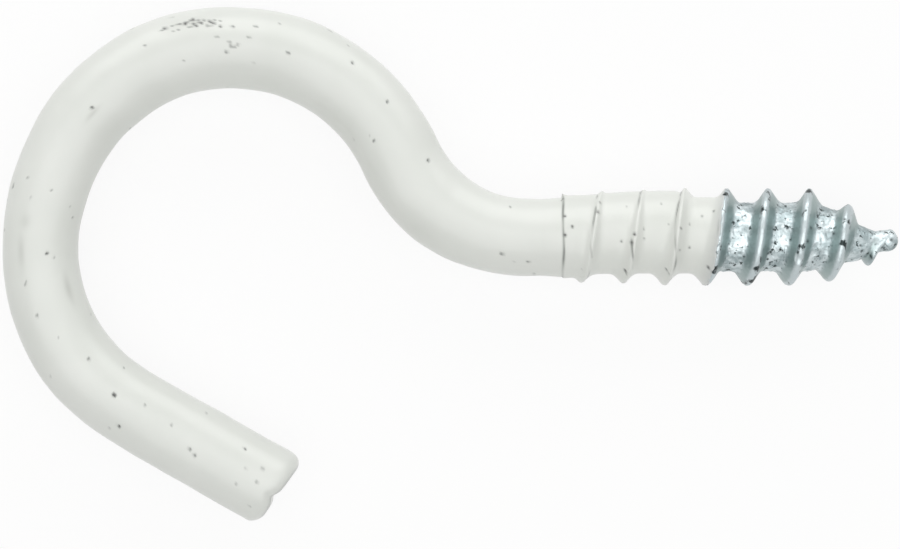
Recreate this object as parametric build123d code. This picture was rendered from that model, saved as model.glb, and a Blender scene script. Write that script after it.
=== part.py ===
from build123d import *
from math import ceil, cos, pi, radians, sin, tan
import os

# Open screw hook: one bent steel wire with a rolled wood-screw thread, and the plastic coat
# that it was dipped in.
#
# The hook lies in the XY plane. X runs along the screw towards its point, Y is up from the
# screw axis on the crown's side, and Z is square to the hook. The origin is on the screw
# axis, at the shoulder where the plain shank ends and the thread begins. Millimetres.

# --- wire ---------------------------------------------------------------------------
wire_diameter = 4.0

# --- centreline, walked from the shoulder back to the open end ------------------------
shank_length = 2.1
neck_radius, neck_turn = 7.5, 66.0          # turns up, away from the open end
crown_radius, crown_turn = 10.2, 102.7      # the rest turn down and round
back_radius, back_turn = 11.4, 56.6
heel_radius, heel_turn = 10.05, 56.8
arm_length = 9.53                            # straight arm, to the end of the coat

# --- thread ---------------------------------------------------------------------------
thread_hand = -1                            # -1 left-hand, 1 right-hand
thread_length = 18.65                       # shoulder to the end of the point
thread_pitch = 2.3
thread_major_diameter = 5.4
thread_root_diameter = 3.8
first_crest_diameter = 4.8                  # the crest grows from this to the major diameter
crest_growth_length = 9.0
crest_width = 0.44
flank_angle = 34.0                          # one flank, from square to the axis
run_in_turns = 0.7                          # turns over which the ridge rises at the shoulder
shoulder_cone_length = 0.5                  # from the wire's size down to the root
crest_at_top = 9.13                         # a crest passes over +Y this far from the shoulder
point_length = 5.05                         # taper at the tip
nose_radius = 0.56
point_core_power = 1.3                      # ogive exponents: the core thins before the crest
point_crest_power = 1.9
ridge_end_gap = 0.95                        # plain nose past the last of the ridge
ridge_fade_length = 0.75

# --- coat: how far its surface stands off the wire ------------------------------------
coat_on_shank = 0.12
coat_past_neck = 0.27
coat_past_crown = 0.28
coat_past_back = 0.08
coat_on_arm = 0.24
coat_on_thread = 0.08
coat_shoulder_step = 0.12                    # stands this much higher just past the shoulder
coat_shoulder_length = 2.0                  # and thins out over this length
coat_over_wire_end = 0.7
coat_end_distance = 8.45                    # where the coat stops, along the screw axis
coat_end_tilt = 11.0                        # degrees; the coat reaches further on +Y

# --- the coat's open end --------------------------------------------------------------
end_round = 0.8                             # rounded rim
end_slant = 6.0                             # degrees out of square, longer towards +Y
notch_width, notch_depth = 0.9, 0.2         # one shallow groove across the end face
notch_offset = 0.4                          # from the arm's centreline, away from +Y

# --- plastic that pooled between the coated crests on +Y -------------------------------
web_radius = 1.5
web_stations = ((0.0, 0.4), (2.4, 1.0), (5.4, 1.12), (7.8, 0.8), (9.2, 0.35))   # distance, rise

# --- how finely the helices are drawn, and how far a ridge is sunk into its core -------
points_per_turn = 24
ridge_sink = 0.12
least_ridge = 0.03

wire_radius = wire_diameter / 2
root_radius = thread_root_diameter / 2
major_radius = thread_major_diameter / 2
first_crest_radius = first_crest_diameter / 2
point_start = thread_length - point_length
shank_coat_radius = wire_radius + coat_on_shank
arm_coat_radius = wire_radius + coat_on_arm
thread_coat_radius = root_radius + coat_on_thread
coated_ridge_end = coat_end_distance + 0.8 * thread_pitch   # cut back to the coat's end


def ease(t):
    """0 to 1 with flat ends."""
    t = min(max(t, 0.0), 1.0)
    return t * t * (3 - 2 * t)


def point_share(x):
    """How far x is into the tapered point, from 0 to 1."""
    return min(max((x - point_start) / point_length, 0.0), 1.0)


def core_radius(x):
    """Radius between the thread's ridges."""
    return max(root_radius * (1 - point_share(x) ** point_core_power), nose_radius)


def crest_radius(x):
    """Radius of the thread's crest, which grows from the shoulder and tapers at the point."""
    grown = first_crest_radius + (major_radius - first_crest_radius) * ease(x / crest_growth_length)
    return grown * (1 - point_share(x) ** point_crest_power)


def ridge_height(x):
    """Height of the steel ridge over its core, faded in at the shoulder and out at the nose."""
    rise = ease(x / (run_in_turns * thread_pitch))
    fade = 1 - ease((x - (thread_length - ridge_end_gap - ridge_fade_length)) / ridge_fade_length)
    return (crest_radius(x) - core_radius(x)) * rise * fade


def on_helix(x, along, radius):
    """A point at this radius on the helix that is at x, moved along the axis."""
    angle = thread_hand * 2 * pi * (x - crest_at_top) / thread_pitch
    return Vector(x + along, radius * cos(angle), radius * sin(angle))


def helical_ridge(start, end, core_at, height_at, top_width):
    """A trapezoid ridge wound on a core. Its base is sunk so that it fuses with the core."""
    spread = tan(radians(flank_angle))

    def corner(k, x):
        height = max(height_at(x), least_ridge - ridge_sink)
        base_half = top_width / 2 + (height + ridge_sink) * spread
        along = (-base_half, -top_width / 2, top_width / 2, base_half)[k]
        radius = core_at(x) + (-ridge_sink, height, height, -ridge_sink)[k]
        return on_helix(x, along, radius)

    def edge(k, stations):
        h = 1e-4
        tangents = [(corner(k, x + h) - corner(k, x - h)).normalized()
                    for x in (stations[0], stations[-1])]
        return Edge.make_spline([corner(k, x) for x in stations], tangents=tangents)

    turns = ceil((end - start) / thread_pitch)
    stations = [start + (end - start) * i / (turns * points_per_turn)
                for i in range(turns * points_per_turn + 1)]
    faces = []
    for turn in range(turns):
        first = turn * points_per_turn
        edges = [edge(k, stations[first:first + points_per_turn + 1]) for k in range(4)]
        faces += [Face.make_surface_from_curves(edges[k], edges[(k + 1) % 4]) for k in range(4)]
    for x in (start, end):
        faces.append(Face(Wire.make_polygon([corner(k, x) for k in range(4)], close=True)))
    return Solid(Shell(faces))


def centreline():
    """The bent wire's centreline, edge by edge from the shoulder to the open end."""
    shank = Line((0, 0), (-shank_length, 0))
    neck = JernArc(shank @ 1, shank % 1, neck_radius, -neck_turn)
    crown = JernArc(neck @ 1, neck % 1, crown_radius, crown_turn)
    back = JernArc(crown @ 1, crown % 1, back_radius, back_turn)
    heel = JernArc(back @ 1, back % 1, heel_radius, heel_turn)
    arm = Line(heel @ 1, heel @ 1 + (heel % 1) * arm_length)
    return shank, neck, crown, back, heel, arm


def disc(edge, at, radius):
    """A round section square to a centreline edge."""
    return Plane(origin=edge @ at, z_dir=edge % at) * Circle(radius)


def one(shape):
    """The only solid of a shape."""
    solids = shape.solids()
    assert len(solids) == 1, f"{len(solids)} solids where one was meant"
    return solids[0]


def screw_blank():
    """The threaded shank without its ridge: cone at the shoulder, root, tapered point, round nose."""
    taper_end = thread_length - nose_radius
    taper = [(x, core_radius(x)) for x in
             [point_start + (taper_end - point_start) * i / 8 for i in range(6)]]
    outline = Wire([
        Line((0, 0), (0, wire_radius)).edge(),
        Line((0, wire_radius), (shoulder_cone_length, root_radius)).edge(),
        Line((shoulder_cone_length, root_radius), (point_start, root_radius)).edge(),
        Edge.make_spline([Vector(*p) for p in taper] + [Vector(taper_end, nose_radius)],
                         tangents=[Vector(1, 0), Vector(1, 0)]),
        CenterArc((taper_end, 0), nose_radius, 0, 90).edge(),
        Line((thread_length, 0), (0, 0)).edge(),
    ])
    return one(revolve(Face(outline), Axis.X, 360))


def steel_hook():
    """The whole steel wire: hook, shank and thread in one solid."""
    edges = centreline()
    arm = edges[-1]
    wire_arm = Line(arm @ 0, arm @ 0 + (arm % 0) * (arm_length - coat_over_wire_end))
    path = Wire([edge.edge() for edge in (*edges[:-1], wire_arm)])
    wire = one(sweep(disc(edges[0], 0, wire_radius), path=path))
    ridge = helical_ridge(-thread_pitch / 4, thread_length - ridge_end_gap,
                          core_radius, ridge_height, crest_width)
    thread = one(screw_blank().fuse(ridge))
    return one(wire.fuse(thread))


def hook_sleeve():
    """The coat round the shank and the bends, solid, with its thickness run from bend to bend."""
    shank, neck, crown, back, heel, arm = centreline()
    stand_off = (coat_on_shank, coat_past_neck, coat_past_crown, coat_past_back, coat_on_arm)
    bends = (neck, crown, back, heel)
    sleeve = one(sweep(disc(shank, 0, shank_coat_radius), path=Wire([shank.edge()])))
    for bend, here, there in zip(bends, stand_off, stand_off[1:]):
        sections = [disc(bend, 0, wire_radius + here), disc(bend, 1, wire_radius + there)]
        sleeve = one(sleeve.fuse(one(sweep(sections, path=Wire([bend.edge()]), multisection=True))))
    return sleeve


def arm_sleeve():
    """The coat along the straight arm, solid, with its rounded, slanted and notched end."""
    arm = centreline()[-1]
    direction = arm % 0
    towards_crown = Vector(0, 0, 1).cross(direction)
    slope = tan(radians(end_slant))
    spare = 2 * wire_radius
    blank = Pos(0, 0, (arm_length + spare) / 2) * Cylinder(arm_coat_radius, arm_length + spare)
    end_face = Plane(origin=(0, 0, arm_length), z_dir=(-slope, 0, 1))
    sleeve = split(blank, bisect_by=end_face, keep=Keep.BOTTOM)
    rim = sleeve.edges().sort_by(Axis.Z)[-1]
    sleeve = fillet(rim, end_round)
    notch_radius = (notch_width ** 2 / 4 + notch_depth ** 2) / (2 * notch_depth)
    notch_centre = (-notch_offset, 0, arm_length - notch_offset * slope + notch_radius - notch_depth)
    groove = Pos(*notch_centre) * Rot(90, 0, 0) * Cylinder(notch_radius, 3 * arm_coat_radius)
    sleeve = one(sleeve - groove)
    return Plane(origin=arm @ 0, x_dir=towards_crown, z_dir=direction) * sleeve


def thread_sleeve():
    """The coat over the thread, solid: a cone past the shoulder, its own ridge, and the web."""
    start_radius = shank_coat_radius + coat_shoulder_step
    outline = Polyline((0, 0), (0, start_radius), (coat_shoulder_length, thread_coat_radius),
                       (coated_ridge_end, thread_coat_radius), (coated_ridge_end, 0), close=True)
    core = one(revolve(make_face(outline), Axis.X, 360))
    web = one(loft([Plane(origin=(x, rise, 0), z_dir=(1, 0, 0)) * Circle(web_radius)
                    for x, rise in web_stations]))
    land_growth = 2 * coat_on_thread * (1 - sin(radians(flank_angle))) / cos(radians(flank_angle))
    ridge = helical_ridge(-thread_pitch / 4, coated_ridge_end,
                          lambda x: thread_coat_radius, ridge_height, crest_width + land_growth)
    sleeve = one(one(core.fuse(ridge)).fuse(web))
    end_face = Plane(origin=(coat_end_distance, 0, 0), z_dir=(1, -tan(radians(coat_end_tilt)), 0))
    return one(split(sleeve, bisect_by=end_face, keep=Keep.BOTTOM))


def white_coating(steel):
    """The coat: its outer form less the steel inside it."""
    outer = one(hook_sleeve().fuse(arm_sleeve()))
    outer = one(outer.fuse(thread_sleeve()))
    return one(outer.cut(steel))


os.makedirs("parts", exist_ok=True)
steel = steel_hook()
export_step(steel, "parts/steel_hook.step")
export_step(white_coating(steel), "parts/white_coating.step")
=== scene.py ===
import math

import bpy
import numpy as np
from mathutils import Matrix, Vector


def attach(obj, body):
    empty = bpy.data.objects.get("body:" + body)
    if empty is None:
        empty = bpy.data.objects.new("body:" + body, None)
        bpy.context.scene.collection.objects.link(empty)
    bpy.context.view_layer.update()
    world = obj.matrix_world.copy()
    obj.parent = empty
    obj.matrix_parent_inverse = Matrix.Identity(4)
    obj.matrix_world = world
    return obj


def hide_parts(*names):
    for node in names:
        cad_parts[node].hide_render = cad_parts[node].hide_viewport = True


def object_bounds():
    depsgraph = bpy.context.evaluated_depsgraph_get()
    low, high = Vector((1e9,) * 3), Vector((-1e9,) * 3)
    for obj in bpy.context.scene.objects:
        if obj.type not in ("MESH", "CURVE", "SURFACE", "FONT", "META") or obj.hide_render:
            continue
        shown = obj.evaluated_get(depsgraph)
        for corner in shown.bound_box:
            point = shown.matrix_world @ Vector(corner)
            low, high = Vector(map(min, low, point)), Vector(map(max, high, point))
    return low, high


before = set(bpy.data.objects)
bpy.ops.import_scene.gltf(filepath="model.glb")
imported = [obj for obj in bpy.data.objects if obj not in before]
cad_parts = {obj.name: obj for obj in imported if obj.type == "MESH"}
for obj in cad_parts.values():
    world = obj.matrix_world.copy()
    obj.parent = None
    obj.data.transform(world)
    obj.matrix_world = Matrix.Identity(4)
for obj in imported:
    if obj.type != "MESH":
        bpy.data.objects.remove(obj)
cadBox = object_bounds()
mm = 0.001
print("frame loaded:", sorted(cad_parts))


# The bent wire, walked from the thread's shoulder back to the open end. Below zero it runs along the thread.
wireLine = {
    "radius": 2.0,
    "runs": (                       # length and radius of each stretch, radius 0 where straight
        ("shank", 2.1, 0.0, 0.0),
        ("neck", 0.0, 7.5, -66.0),  # degrees, positive bends towards the bowl
        ("crown", 0.0, 10.2, 102.7),
        ("back", 0.0, 11.4, 56.6),
        ("heel", 0.0, 10.05, 56.8),
        ("arm", 9.53, 0.0, 0.0),
    ),
}

thread = {
    "hand": -1,                     # -1 left-hand, 1 right-hand
    "pitch": 2.3,
    "crestAtTop": 9.13,             # a crest passes over +Y here
    "length": 18.65,
    "rootRadius": 1.9,
    "firstCrestRadius": 2.4,
    "majorRadius": 2.7,
    "crestGrowth": 9.0,
    "crestHalf": 0.1,
    "flankSlope": math.tan(math.radians(34)),
    "runIn": 1.6,
    "crestRounding": 0.1,
    "rootRounding": 0.26,
}


def ease(t):
    t = np.clip(t, 0.0, 1.0)
    return t * t * (3 - 2 * t)


def softMax(a, b, blend):
    return np.maximum(a, b) + np.maximum(blend - np.abs(a - b), 0) ** 2 / (4 * blend)


def softMin(a, b, blend):
    return -softMax(-a, -b, blend)


def bump1(x, centre, width):
    return np.exp(-((x - centre) / width) ** 2)


def ripple(points, wavelength, seed, waves=14):
    """smooth"""
    rng = np.random.default_rng(seed)
    total = np.zeros(points.shape[:-1])
    for _ in range(waves):
        direction = rng.normal(size=3)
        direction *= 2 * math.pi / (wavelength * rng.uniform(0.75, 1.35) * np.linalg.norm(direction))
        total += np.sin(points @ direction + rng.uniform(0, 2 * math.pi))
    return total / math.sqrt(waves / 2)


def wireRuns():
    place, heading, start = np.zeros(2), math.pi, 0.0
    runs = []
    for name, length, radius, turn in wireLine["runs"]:
        turn = math.radians(turn)
        length = length or radius * abs(turn)
        runs.append((start, length, place.copy(), heading, turn / length))
        if turn:
            curve = turn / length
            place = place + np.array([math.sin(heading + turn) - math.sin(heading),
                                      math.cos(heading) - math.cos(heading + turn)]) / curve
        else:
            place = place + length * np.array([math.cos(heading), math.sin(heading)])
        heading += turn
        start += length
    return runs, start


wireRunList, wireLength = wireRuns()


def alongWire(s):
    """place, outward normal"""
    x, y = -s, np.zeros_like(s)
    heading = np.full_like(s, math.pi)
    for start, length, place, first, curve in wireRunList:
        here = s >= start
        t = s - start
        turned = first + curve * t
        if curve:
            runX = place[0] + (np.sin(turned) - math.sin(first)) / curve
            runY = place[1] + (math.cos(first) - np.cos(turned)) / curve
        else:
            runX = place[0] + t * math.cos(first)
            runY = place[1] + t * math.sin(first)
        x, y = np.where(here, runX, x), np.where(here, runY, y)
        heading = np.where(here, turned, heading)
    return x, y, heading


def aroundWire(s, angle, radius, forward=0.0):
    """points on rings square to the wire. Angle 0 is the outside of the bowl and +Y on the screw, 90 faces up."""
    x, y, heading = alongWire(s)
    out = radius * np.cos(angle)
    px = x + forward * np.cos(heading) + out * np.sin(heading)
    py = y + forward * np.sin(heading) - out * np.cos(heading)
    return np.stack([px, py, radius * np.sin(angle) * np.ones_like(px)], -1)


def fromCrest(x, angle):
    """how far a place on the screw lies from the nearest crest, along the axis"""
    turn = thread["hand"] * angle * thread["pitch"] / (2 * math.pi)
    return (x - thread["crestAtTop"] - turn + thread["pitch"] / 2) % thread["pitch"] - thread["pitch"] / 2


def pointShare(x):
    return np.clip((x - 13.6) / 5.05, 0, 1)


def crestRadius(x):
    grown = thread["firstCrestRadius"] + (thread["majorRadius"] - thread["firstCrestRadius"]) * ease(
        x / thread["crestGrowth"])
    return grown * (1 - pointShare(x) ** 1.75)


def ridge(away, height, crestHalf, rounding, rootRounding, steep=1.0):
    slope = thread["flankSlope"] * steep
    flank = (crestHalf + height * slope - np.abs(away)) / slope
    return softMax(softMin(flank, height, rounding), np.zeros_like(flank), rootRounding)


def tubeMesh(name, rings, capStart=True, capEnd=True):
    """rings: array rings x around x 3"""
    count, around = rings.shape[:2]
    points = rings.reshape(-1, 3)
    i, j = np.meshgrid(np.arange(count - 1), np.arange(around), indexing="ij")
    k = (j + 1) % around
    quads = np.stack([i * around + j, i * around + k, (i + 1) * around + k, (i + 1) * around + j], -1).reshape(-1, 4)
    faces = quads.tolist()
    extra = []
    if capStart:
        extra.append(rings[0].mean(0))
        centre = len(points)
        faces += [(centre, (j + 1) % around, j) for j in range(around)]
    if capEnd:
        extra.append(rings[-1].mean(0))
        centre = len(points) + len(extra) - 1
        base = (count - 1) * around
        faces += [(centre, base + j, base + (j + 1) % around) for j in range(around)]
    if extra:
        points = np.vstack([points, extra])
    mesh = bpy.data.meshes.new(name)
    mesh.from_pydata((points * mm).tolist(), [], faces)
    mesh.polygons.foreach_set("use_smooth", [True] * len(mesh.polygons))
    mesh.validate()
    piece = bpy.data.objects.new(name, mesh)
    bpy.context.collection.objects.link(piece)
    return piece


def paint(piece, name, values):
    layer = piece.data.attributes.new(name, "FLOAT", "POINT")
    full = np.zeros(len(piece.data.vertices))
    flat = np.asarray(values).ravel()
    full[:flat.size] = flat
    layer.data.foreach_set("value", full)


# ---------------------------------------------------------------- coat
coat = {
    "around": 144,
    "hookStep": 0.13,
    "screwStep": 0.058,
    "edgeRings": 44,
    "standOff": ((0.0, 0.19), (1.2, 0.12), (4.0, 0.17), (8.0, 0.28), (12.0, 0.24), (20.0, 0.265), (29.0, 0.275),
                 (36.0, 0.15), (40.3, 0.08), (44.0, 0.16), (48.0, 0.2), (54.0, 0.24), (59.8, 0.23)),
    "drift": ((22.0, 0.0), (28.0, 0.09), (31.0, 0.09), (34.0, 0.0), (54.0, -0.01), (59.8, -0.05)),
    "valley": ((0.0, 2.24), (0.7, 2.2), (2.0, 2.0), (9.5, 1.97)),
    "web": ((0.0, 0.0), (1.2, 0.2), (2.4, 0.45), (3.8, 0.54), (5.4, 0.6), (6.3, 0.58), (7.3, 0.26), (9.3, 0.22)),
    "onThread": 0.08,
    "lump": 0.014,
    "endRound": 0.76,
}


def listed(pairs, x):
    return np.interp(x, [p[0] for p in pairs], [p[1] for p in pairs])


def coatEdge(angle):
    """where the coat stops: along one crest on the upper side, straight back across below"""
    angle = angle % (2 * math.pi)
    lean = np.where(angle < math.pi, 1 - 2 * angle / math.pi, np.cos(angle))
    middle = thread["crestAtTop"] - thread["pitch"] / 4
    ragged = 0.03 * np.sin(9 * angle + 1) + 0.02 * np.sin(23 * angle) + 0.015 * np.sin(41 * angle + 2)
    return middle + thread["pitch"] / 4 * lean - 0.02 + ragged


def coatRadius(s, angle):
    x = -s
    hook = wireLine["radius"] + listed(coat["standOff"], np.maximum(s, 0))
    hook = hook + listed(coat["drift"], np.maximum(s, 0)) * np.cos(angle)
    valley = listed(coat["valley"], x) + listed(coat["web"], x) * ((1 + np.cos(angle)) / 2) ** 2
    rise = ease((x + 0.55) / 1.6)
    height = np.maximum(crestRadius(x) + coat["onThread"] - listed(coat["valley"], x), 0) * rise
    screw = listed(coat["valley"], x) + ridge(fromCrest(x, angle), height, 0.06, 0.035, 0.7)
    screw = softMax(screw, valley, 0.16)
    return np.where(s > 0, hook, screw)


def makeCoat():
    around = coat["around"]
    angle = np.linspace(0, 2 * math.pi, around, endpoint=False)[None, :]
    # rings: open-end cap, then down the wire, then the thread to the coat's edge, then the edge tucked under
    e = coat["endRound"]
    endS = wireLength
    rings, sAll, aAll = [], [], []
    stations = np.concatenate([np.arange(endS - e, 0.8, -coat["hookStep"]), np.arange(0.8, -6.5, -coat["screwStep"])])
    s = stations[:, None] + 0 * angle
    a = angle + 0 * s
    # last stretch bends its rings to follow the edge
    n = coat["edgeRings"]
    t = np.linspace(0, 1, n + 1)[1:, None]
    sEdge = stations[-1] - (coatEdge(a[:1]) + stations[-1]) * t
    aEdge = a[:1] + 0 * sEdge
    s = np.vstack([s, sEdge])
    a = np.vstack([a, aEdge])
    radius = coatRadius(s, a)
    flat = aroundWire(s, a, radius)
    lump = ripple(flat, 4.5, 3) + 0.6 * ripple(flat, 2.0, 4)
    quiet = np.where(s > 0, 1.0, 0.55)
    radius = radius + coat["lump"] * lump * quiet
    # thinning towards the edge
    edgeGap = coatEdge(a) + s
    radius = radius - np.where(s < 0, 0.07 * np.exp(-np.maximum(edgeGap, 0) / 0.12), 0)
    return s, a, radius


marks = {
    # (distance from the shoulder, angle round the wire in degrees, size in mm, darkness)
    "pinholes": (
        (39.9, 106, 0.13, 1.0), (31.1, 91, 0.12, 0.9), (49.2, 96, 0.15, 1.0), (50.3, 59, 0.13, 1.0),
        (36.6, 31, 0.11, 0.6), (41.5, 68, 0.10, 0.5), (43.2, 74, 0.10, 0.6), (46.7, 109, 0.12, 0.7),
        (16.1, 57, 0.12, 0.9), (13.5, 64, 0.11, 0.8), (12.2, 114, 0.11, 0.8), (9.7, 57, 0.14, 0.9),
        (19.3, 88, 0.10, 0.7), (22.7, 100, 0.10, 0.7), (24.7, 49, 0.14, 0.9), (3.1, 43, 0.11, 0.7),
        (3.2, 119, 0.11, 0.7), (1.9, 130, 0.11, 0.7), (54.3, 84, 0.12, 0.7), (54.7, 80, 0.14, 0.8),
        (56.9, 125, 0.11, 0.9), (26.9, 63, 0.1, 0.6), (27.2, 12, 0.1, 0.6), (21.4, 12, 0.1, 0.4),
        # the three near 58 mm beside the pinch at the open end are painted shade of a small dent there, which the shape
        # leaves out
        (22.7, 99, 0.1, 0.6), (23.2, 77, 0.08, 0.4), (58.4, 91, 0.14, 0.45), (57.5, 100, 0.12, 0.25),
        (58.3, 112, 0.14, 0.35),
        # on the coated thread
        (0.0, 23, 0.12, 0.9), (-0.1, 60, 0.12, 0.9), (-0.1, 88, 0.13, 1.0), (-0.5, 76, 0.1, 0.9),
        (-1.9, 57, 0.16, 0.7), (-2.2, 5, 0.12, 0.8), (-2.05, 41, 0.1, 0.6), (-3.9, 87, 0.13, 1.0),
        (-3.2, 97, 0.1, 0.8), (-3.75, 98, 0.15, 0.6), (-4.45, 93, 0.1, 0.4), (-3.45, 141, 0.13, 1.0),
        (-6.45, 80, 0.1, 0.7), (-6.4, 108, 0.09, 0.5), (-5.7, 138, 0.11, 0.8), (-6.95, 107, 0.1, 0.7),
        (-7.65, 58, 0.11, 0.5), (-8.3, 51, 0.09, 0.7), (-8.0, 134, 0.13, 0.9),
        # the worn patch on the crown and its trail
        (24.7, 49, 0.17, 1.0), (24.95, 48, 0.1, 0.8), (25.7, 47, 0.13, 0.9), (24.3, 44, 0.12, 0.9),
        (24.2, 57, 0.14, 0.9), (24.35, 53, 0.1, 0.8), (23.95, 53, 0.11, 0.8), (24.0, 47, 0.1, 0.6),
        (23.5, 52, 0.15, 0.9), (23.35, 55, 0.12, 0.9), (23.75, 49, 0.1, 0.6), (23.65, 60, 0.11, 0.5),
        (23.0, 62, 0.12, 0.9), (22.4, 63, 0.11, 0.7), (21.25, 60, 0.1, 0.6),
        # a small bent scuff below the patch
        (22.55, 85, 0.1, 0.4), (22.5, 89, 0.1, 0.5), (22.42, 92, 0.1, 0.5), (22.28, 92, 0.1, 0.5),
        (22.15, 90, 0.1, 0.4), (22.05, 88, 0.1, 0.35),
    ),
    "strayPinholes": 110,
    "smears": ((42.2, 133, 0.9, 0.22, 0.4), (39.8, 66, 0.75, 0.2, 0.3), (38.2, 71, 0.4, 0.3, 0.25),
               (31.3, 97, 0.5, 0.12, 0.4)),
    "wornDots": 26,
    "wornFrom": 23.2, "wornTo": 25.9, "wornAngle": 53,
    "seed": 11,
}


def paintMarks(s, a, radius):
    rng = np.random.default_rng(marks["seed"])
    spots = list(marks["pinholes"])
    for _ in range(marks["strayPinholes"]):
        spots.append((rng.uniform(-8, wireLength - 1), rng.uniform(0, 360), rng.uniform(0.06, 0.1),
                      rng.uniform(0.15, 0.6)))
    for _ in range(marks["wornDots"]):
        spots.append((rng.normal((marks["wornFrom"] + marks["wornTo"]) / 2, 0.75),
                      rng.normal(marks["wornAngle"], 5), rng.uniform(0.05, 0.08), rng.uniform(0.2, 0.7)))
    dark = np.zeros_like(s)
    for place, degrees, size, depth in spots:
        rows = np.abs(s[:, 0] - place) < 4 * size + 0.6
        if not rows.any():
            continue
        turn = (a[rows] - math.radians(degrees) + math.pi) % (2 * math.pi) - math.pi
        far = ((s[rows] - place) ** 2 + (radius[rows] * turn) ** 2) / (0.62 * size) ** 2
        far = np.maximum(far - far.min(), 0)
        dark[rows] = np.maximum(dark[rows], depth * np.exp(-far))
    smudge = np.zeros_like(s)
    for place, degrees, long, wide, depth in marks["smears"]:
        turn = (a - math.radians(degrees) + math.pi) % (2 * math.pi) - math.pi
        smudge = np.maximum(smudge, depth * np.exp(-((s - place) / long) ** 2 - (radius * turn / wide) ** 2))
    turn = (a - math.radians(marks["wornAngle"]) + math.pi) % (2 * math.pi) - math.pi
    middle = (marks["wornFrom"] + marks["wornTo"]) / 2
    half = (marks["wornTo"] - marks["wornFrom"]) / 2
    worn = np.exp(-((s - middle) / half) ** 4 - (radius * turn / 0.45) ** 2)
    smudge = np.maximum(smudge, 0.22 * worn)
    return dark, smudge


def grooveShadeLines(s, a, radius):
    """shallow grooves with painted shade along them: one round the shoulder, others where the coat dips past a crest"""
    points = aroundWire(s, a, radius)
    uneven = 0.5 + 0.5 * np.clip(ripple(points, 1.6, 21), -1, 1)
    wander = 0.03 * ripple(points, 2.5, 22)
    shoulder = np.exp(-((s + wander) / 0.06) ** 2) * (0.35 + 0.65 * uneven)
    away = fromCrest(-s, a)
    side = np.tanh(4 * np.cos(a - 0.35))                    # the painted shade lies on the shoulder side above, the point side below
    crease = np.exp(-((away + 0.15 * side + wander) / 0.05) ** 2) * (s < -0.4) * np.clip(uneven * 1.7 - 0.15, 0, 1)
    crease *= np.clip(coatEdge(a) + s, 0, 0.4) / 0.4
    return shoulder, crease


def dentEnd(points):
    """pushes the open end along the arm: slant, pinch and rounded rim are set by how far across the arm a point lies"""
    x, y, heading = alongWire(np.array([wireLength]))
    forward = np.array([math.cos(heading[0]), math.sin(heading[0]), 0])
    across = np.array([-forward[1], forward[0], 0])         # towards the crown
    centre = np.array([x[0], y[0], 0])
    n = (points - centre) @ across
    d = (points - centre) @ forward
    nearEnd = ease((d + 1.1) / 0.9)
    slant = 0.1 + 0.1 * (n - 1.0)
    pinch = -0.24 * np.exp(-np.abs((n + 0.3) / 0.34) ** 1.6)
    push = (slant + pinch) * nearEnd
    return points + push[..., None] * forward


def buildCoat():
    s, a, radius = makeCoat()
    dark, smudge = paintMarks(s, a, radius)
    shoulder, crease = grooveShadeLines(s, a, radius)
    radius = radius - 0.05 * dark - 0.06 * shoulder - 0.04 * crease
    body = aroundWire(s, a, radius)
    # open end: a rounded rim and a nearly flat face
    e = coat["endRound"]
    rim = []
    base = radius[0]
    for phi in np.linspace(0, math.pi / 2, 9)[1:][::-1]:
        rim.append((base - e * (1 - math.cos(phi)), -e * (1 - math.sin(phi))))
    inner = [((base - e) * k, 0.0) for k in np.linspace(0.02, 1, 14)[:-1]]
    capRings = []
    for ringRadius, forward in inner + rim:
        ringS = np.full_like(a[:1], wireLength)
        capRings.append(aroundWire(ringS, a[:1], ringRadius[None, :], forward=forward))
    cap = np.vstack(capRings)
    points = np.concatenate([cap, body])
    # the thin edge, tucked down onto the steel
    lastS = s[-1:]
    tucks = [aroundWire(lastS + 0.02, a[-1:], radius[-1:] - 0.05), aroundWire(lastS + 0.12, a[-1:], radius[-1:] - 0.14)]
    points = np.concatenate([points] + tucks)
    capCount = len(capRings)
    atEnd = capCount + int(np.sum(s[:, 0] > wireLength - 3))
    points[:atEnd] = dentEnd(points[:atEnd])
    piece = tubeMesh("coatOfWhiteVinyl", points, capStart=True, capEnd=False)
    zeroCap = np.zeros((capCount, a.shape[1]))
    # painted shade: a thin darker ring where the end face turns into the rim, for the end seen edge-on
    shadeCap = zeroCap + np.interp(np.arange(capCount), len(inner) + np.array([-2, 0, 1, 3]), [0, 0.45, 0.45, 0])[:, None]
    tail = np.zeros((2, a.shape[1]))
    paint(piece, "pinhole", np.vstack([zeroCap, dark, tail]))
    paint(piece, "smudge", np.vstack([zeroCap, smudge, tail]))
    # the crack layer carries painted shade: the groove lines and the darker ring at the end's rim
    paint(piece, "grooveAndRimShade", np.vstack([shadeCap, np.maximum(shoulder, 0.85 * crease), tail]))
    thin = np.exp(-np.maximum(coatEdge(a) + s, 0) / 0.25) * (s < 0)
    paint(piece, "thin", np.vstack([zeroCap, thin, np.ones((2, a.shape[1]))]))
    return piece


# ---------------------------------------------------------------- steel
steel = {
    "around": 168,
    "step": 0.052,
    "pitting": 0.012,
    "hidden": 0.07,                 # how far the wire's mesh stays inside the coat's
    # (distance from the shoulder, angle, size in mm): black spots on the lower side of the point
    "grime": ((18.2, 87, 0.15), (17.7, 124, 0.12), (17.85, 148, 0.14), (17.6, 152, 0.1), (17.1, 150, 0.16),
              (16.9, 140, 0.13), (16.55, 120, 0.12), (16.45, 100, 0.12), (18.45, 120, 0.1), (18.4, 165, 0.14),
              (17.3, 172, 0.14), (15.5, 62, 0.13), (14.9, 84, 0.12), (13.4, 96, 0.14), (13.6, 78, 0.12),
              (11.3, 118, 0.13), (13.1, 128, 0.12)),
}


def pointDroop(x):
    """the point is worn off its axis, away from +Y"""
    return -0.3 * ease((x - 15.2) / 1.3) + 0.1 * ease((x - 17.0) / 1.1)


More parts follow.
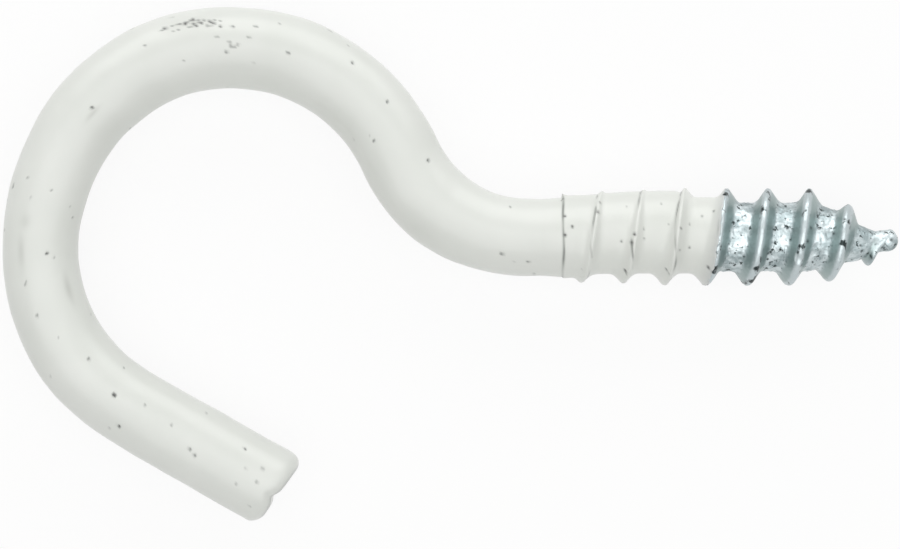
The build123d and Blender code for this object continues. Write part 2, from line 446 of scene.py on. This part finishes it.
def steelRadius(x, a):
    core = np.maximum(thread["rootRadius"] * (1 - pointShare(x) ** 1.3), 0.6)
    rise = ease(x / thread["runIn"])
    fade = 1 - ease((x - 17.0) / 0.9)
    height = np.maximum(crestRadius(x) - core, 0) * rise * fade
    steep = 1 - 0.5 * ease((x - 15.9) / 0.6) * (1 - ease((x - 16.9) / 0.4))   # the last full crest drops off sharply
    grown = core + ridge(fromCrest(x, a), height, thread["crestHalf"], thread["crestRounding"],
                         thread["rootRounding"], steep)
    nose = np.sqrt(np.clip(1 - ((x - (thread["length"] - 0.6)) / 0.6) ** 2, 0, 1))
    return np.where(x > thread["length"] - 0.6, grown * nose, grown)


def buildSteel():
    around = steel["around"]
    angle = np.linspace(0, 2 * math.pi, around, endpoint=False)[None, :]
    bends = np.linspace(wireLength - 0.7, 0.0, 70)
    screw = np.arange(0.3, thread["length"] - 0.6, steel["step"])
    nose = thread["length"] - 0.6 + 0.6 * np.sin(np.linspace(0, math.pi / 2, 14)[:-1])
    x = np.concatenate([-bends, screw, nose, [thread["length"] - 0.0004]])[:, None]
    s = -x + 0 * angle
    a = angle + 0 * s
    x = -s
    radius = np.where(x > 0, steelRadius(x, a), wireLine["radius"] - steel["hidden"])
    points = aroundWire(s, a, radius)
    bare = ease((x - 7.2) / 1.0)
    grit = ripple(points, 0.42, 31, 30) + 0.8 * ripple(points, 0.22, 32, 30)
    away = np.abs(fromCrest(x, a))
    onRoot = ease((away - 0.45) / 0.25)
    onCrest = 1 - ease((away - 0.16) / 0.12)
    dents = np.clip(ripple(points, 0.9, 33, 20) - 0.9, 0, 2) * onCrest
    bare = bare * (1 - 0.75 * ease((x - 15.6) / 0.8))        # the point is smoother
    radius = radius + bare * (steel["pitting"] * grit * (0.35 + 0.65 * onRoot) - 0.05 * dents)
    radius = radius - 0.13 * ease((coatEdge(a) - x) / 0.25) * (x > 0)      # stays clear under the coat
    points = aroundWire(s, a, np.maximum(radius, 0.001))
    points[..., 1] += np.where(x > 0, pointDroop(x), 0)
    piece = tubeMesh("steelWireAndThread", points)
    # painted shade: the flanks between crest and root take a darker copy of the zinc colour
    flank = (1 - onRoot) * (1 - onCrest) * ease((x - 1) / 1.0) * (1 - ease((x - 16.9) / 0.8))
    paint(piece, "flank", flank)
    grime = np.zeros_like(x)
    for place, degrees, size in steel["grime"]:
        turn = (a - math.radians(degrees) + math.pi) % (2 * math.pi) - math.pi
        grime = np.maximum(grime, np.exp(-((x - place) ** 2 + (radius * turn) ** 2) / (0.6 * size) ** 2))
    paint(piece, "grime", grime)
    paint(piece, "crest", onCrest * (x > 0) * (1 - ease((x - 16.6) / 0.8)))
    return piece


# ---------------------------------------------------------------- materials
def linear(hexColour):
    parts = [int(hexColour[k:k + 2], 16) / 255 for k in (1, 3, 5)]
    return [c / 12.92 if c <= 0.04045 else ((c + 0.055) / 1.055) ** 2.4 for c in parts] + [1.0]


def perMetre(sizeMm):
    return 1 / (sizeMm * mm)


def addNode(tree, kind, settings=None, values=None, links=None):
    node = tree.nodes.new(kind)
    for name, value in (settings or {}).items():
        setattr(node, name, value)
    for socket, value in (values or {}).items():
        node.inputs[socket].default_value = value
    for socket, source in (links or {}).items():
        tree.links.new(source, node.inputs[socket])
    return node


def newMaterial(name):
    material = bpy.data.materials.new(name)
    material.use_nodes = True
    tree = material.node_tree
    tree.nodes.clear()
    return material, tree


vinylLook = {
    "colour": "#E3E5E0",
    "shadeColour": "#D9DCD6",
    "pinholeColour": "#262826",
    "smudgeColour": "#A9ABA4",
    # painted shade colour for the grooves and round the end's rim
    "grooveAndRimShadeColour": "#6F736F",
    "thinColour": "#C9CCCB",
    "roughness": 0.3,
    "ior": 1.53,
    "mottle": 3.0,
    "orangePeel": 0.6,
    "peelDepth": 0.012,
}


def dippedVinyl():
    look = vinylLook
    material, tree = newMaterial("dippedVinylPlastisol")    # soft satin skin, faint orange peel, tiny dark pinholes
    place = addNode(tree, "ShaderNodeTexCoord").outputs["Object"]
    mottle = addNode(tree, "ShaderNodeTexNoise", values={"Scale": perMetre(look["mottle"]), "Detail": 2.0},
                     links={"Vector": place})
    colour = addNode(tree, "ShaderNodeMix", {"data_type": "RGBA"},
                     {"A": linear(look["colour"]), "B": linear(look["shadeColour"])} if False else {},
                     {"Factor": mottle.outputs["Fac"]})
    colour.inputs[6].default_value = linear(look["colour"])
    colour.inputs[7].default_value = linear(look["shadeColour"])
    out = colour.outputs[2]
    # the crack layer is painted shade, in the grooves and round the end's rim
    for attribute, key in (("thin", "thinColour"), ("smudge", "smudgeColour"), ("grooveAndRimShade", "grooveAndRimShadeColour"),
                           ("pinhole", "pinholeColour")):
        mask = addNode(tree, "ShaderNodeAttribute", {"attribute_name": attribute}).outputs["Fac"]
        mix = addNode(tree, "ShaderNodeMix", {"data_type": "RGBA"})
        tree.links.new(mask, mix.inputs[0])
        tree.links.new(out, mix.inputs[6])
        mix.inputs[7].default_value = linear(look[key])
        out = mix.outputs[2]
    peel = addNode(tree, "ShaderNodeTexNoise", values={"Scale": perMetre(look["orangePeel"]), "Detail": 3.0},
                   links={"Vector": place})
    bump = addNode(tree, "ShaderNodeBump", values={"Strength": 0.5, "Distance": look["peelDepth"] * mm},
                   links={"Height": peel.outputs["Fac"]})
    shader = addNode(tree, "ShaderNodeBsdfPrincipled",
                     values={"Roughness": look["roughness"], "IOR": look["ior"], "Specular IOR Level": 0.5},
                     links={"Base Color": out, "Normal": bump.outputs["Normal"]})
    addNode(tree, "ShaderNodeOutputMaterial", links={"Surface": shader.outputs[0]})
    return material


zincLook = {
    "rootColour": "#C9D3D5",
    # painted shade on the thread's flanks
    "flankShadeColour": "#98A7A6",
    "crestColour": "#BAC4C6",
    "speckColour": "#2E3737",
    "dullColour": "#96A3A5",
    "roughness": 0.36,
    "patch": 0.9,
    "speck": 0.32,
    "chip": 0.7,
    "grain": 0.16,
    "grainDepth": 0.02,
}


def zincPlate():
    look = zincLook
    material, tree = newMaterial("zincPlatedRolledSteel")   # dull blue-grey plate, pitted and specked in the roots
    place = addNode(tree, "ShaderNodeTexCoord").outputs["Object"]
    patch = addNode(tree, "ShaderNodeTexNoise", values={"Scale": perMetre(look["patch"]), "Detail": 4.0,
                                                       "Roughness": 0.65}, links={"Vector": place})
    speck = addNode(tree, "ShaderNodeTexNoise", values={"Scale": perMetre(look["speck"]), "Detail": 3.0,
                                                       "Roughness": 0.7}, links={"Vector": place})
    patchRamp = addNode(tree, "ShaderNodeMapRange", values={"From Min": 0.42, "From Max": 0.6},
                        links={"Value": patch.outputs["Fac"]})
    speckRamp = addNode(tree, "ShaderNodeMapRange", values={"From Min": 0.575, "From Max": 0.64},
                        links={"Value": speck.outputs["Fac"]})
    out = None

    def over(mask, colour, below):
        mix = addNode(tree, "ShaderNodeMix", {"data_type": "RGBA"})
        tree.links.new(mask, mix.inputs[0])
        if isinstance(below, str):
            mix.inputs[6].default_value = linear(below)
        else:
            tree.links.new(below, mix.inputs[6])
        mix.inputs[7].default_value = linear(colour)
        return mix.outputs[2]

    out = over(patchRamp.outputs[0], look["dullColour"], look["rootColour"])
    out = over(speckRamp.outputs[0], look["speckColour"], out)
    # painted shade: the flanks get the darker zinc colour
    out = over(addNode(tree, "ShaderNodeAttribute", {"attribute_name": "flank"}).outputs["Fac"],
               look["flankShadeColour"], out)
    crest = addNode(tree, "ShaderNodeAttribute", {"attribute_name": "crest"}).outputs["Fac"]
    out = over(crest, look["crestColour"], out)
    chip = addNode(tree, "ShaderNodeTexNoise", values={"Scale": perMetre(look["chip"]), "Detail": 3.0},
                   links={"Vector": place})
    chipRamp = addNode(tree, "ShaderNodeMapRange", values={"From Min": 0.56, "From Max": 0.62},
                       links={"Value": chip.outputs["Fac"]})
    chipped = addNode(tree, "ShaderNodeMath", {"operation": "MULTIPLY"}, links={0: crest, 1: chipRamp.outputs[0]})
    out = over(chipped.outputs[0], look["speckColour"], out)
    out = over(addNode(tree, "ShaderNodeAttribute", {"attribute_name": "grime"}).outputs["Fac"],
               look["speckColour"], out)
    grain = addNode(tree, "ShaderNodeTexNoise", values={"Scale": perMetre(look["grain"]), "Detail": 3.0},
                    links={"Vector": place})
    bump = addNode(tree, "ShaderNodeBump", values={"Strength": 0.8, "Distance": look["grainDepth"] * mm},
                   links={"Height": grain.outputs["Fac"]})
    shader = addNode(tree, "ShaderNodeBsdfPrincipled",
                     values={"Metallic": 0.85, "Roughness": look["roughness"]},
                     links={"Base Color": out, "Normal": bump.outputs["Normal"]})
    addNode(tree, "ShaderNodeOutputMaterial", links={"Surface": shader.outputs[0]})
    return material


# ---------------------------------------------------------------- set
view = {"lens": 150.0, "sensor": 36.0, "width": 49.95, "centreX": -6.216, "centreY": -2.081}


def placeCamera():
    data = bpy.data.cameras.new("overheadCamera")
    data.lens, data.sensor_width = view["lens"], view["sensor"]
    data.clip_start, data.clip_end = 0.01, 5
    camera = bpy.data.objects.new("overheadCamera", data)
    height = view["width"] * view["lens"] / view["sensor"]
    camera.location = (view["centreX"] * mm, view["centreY"] * mm, height * mm)
    bpy.context.collection.objects.link(camera)
    bpy.context.scene.camera = camera


def softbox(name, location, size, strength, target=(-6, 0, 0)):
    data = bpy.data.lights.new(name, "AREA")
    data.shape, data.size, data.size_y = "RECTANGLE", size[0] * mm, size[1] * mm
    data.energy = strength * math.pi * size[0] * size[1] * mm ** 2      # strength is the panel's radiance
    lamp = bpy.data.objects.new(name, data)
    lamp.location = [c * mm for c in location]
    from mathutils import Vector
    aim = Vector([(t - c) for t, c in zip(target, location)])
    lamp.rotation_euler = aim.to_track_quat("-Z", "Y").to_euler()
    lamp.visible_camera = False
    bpy.context.collection.objects.link(lamp)


studio = {"worldStrength": 0.32, "key": 1.55, "top": 1.2, "floorGlow": 0.88}


def seenRays(tree):                                         # rays that show the white background
    path = addNode(tree, "ShaderNodeLightPath")
    mirrored = addNode(tree, "ShaderNodeMath", {"operation": "MAXIMUM"},
                       links={0: path.outputs["Is Camera Ray"], 1: path.outputs["Is Glossy Ray"]})
    return addNode(tree, "ShaderNodeMath", {"operation": "MAXIMUM"},
                   links={0: mirrored.outputs[0], 1: path.outputs["Is Transmission Ray"]}).outputs[0]


def lightStudio(low):
    softbox("keySoftbox", (-6, 335, 105), (700, 340), studio["key"])
    softbox("topSoftbox", (-6, -80, 320), (700, 400), studio["top"])
    world = bpy.data.worlds.new("studioWorld")
    bpy.context.scene.world = world
    world.use_nodes = True
    tree = world.node_tree
    tree.nodes.clear()
    dim = addNode(tree, "ShaderNodeBackground", values={"Color": linear("#FFFFFF"), "Strength": studio["worldStrength"]})
    white = addNode(tree, "ShaderNodeBackground", values={"Color": linear("#FFFFFF"), "Strength": 1.0})
    mix = addNode(tree, "ShaderNodeMixShader", links={0: seenRays(tree), 1: dim.outputs[0], 2: white.outputs[0]})
    addNode(tree, "ShaderNodeOutputWorld", links={"Surface": mix.outputs[0]})
    # floor
    half = 0.6
    mesh = bpy.data.meshes.new("paleFloor")
    mesh.from_pydata([(-half, -half, low), (half, -half, low), (half, half, low), (-half, half, low)], [], [(0, 1, 2, 3)])
    floor = bpy.data.objects.new("paleFloor", mesh)
    bpy.context.collection.objects.link(floor)
    material, tree = newMaterial("paleFloorPaper")
    part = addNode(tree, "ShaderNodeMath", {"operation": "MULTIPLY"}, {1: studio["floorGlow"]}, {0: seenRays(tree)})
    paper = addNode(tree, "ShaderNodeBsdfDiffuse", values={"Color": linear("#F4F4F3")})
    glow = addNode(tree, "ShaderNodeEmission", values={"Color": linear("#FFFFFF"), "Strength": 1.0})
    mix = addNode(tree, "ShaderNodeMixShader", links={0: part.outputs[0], 1: paper.outputs[0], 2: glow.outputs[0]})
    addNode(tree, "ShaderNodeOutputMaterial", links={"Surface": mix.outputs[0]})
    mesh.materials.append(material)


vinyl, zinc = dippedVinyl(), zincPlate()
coatPiece = buildCoat()
print("coat:", len(coatPiece.data.polygons), "faces")
steelPiece = buildSteel()
print("steel:", len(steelPiece.data.polygons), "faces")
for piece, node, slot, material in ((coatPiece, "white_coating", "white_plastic_coat", vinyl),
                                    (steelPiece, "steel_hook", "zinc_plated_steel", zinc)):
    piece.data.materials.append(material)
    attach(piece, "root")
    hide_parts(node)
lowest = min(v.co.z for v in coatPiece.data.vertices)
lightStudio(min(lowest, cadBox[0].z))
placeCamera()
bpy.context.scene.view_settings.view_transform = "Standard"
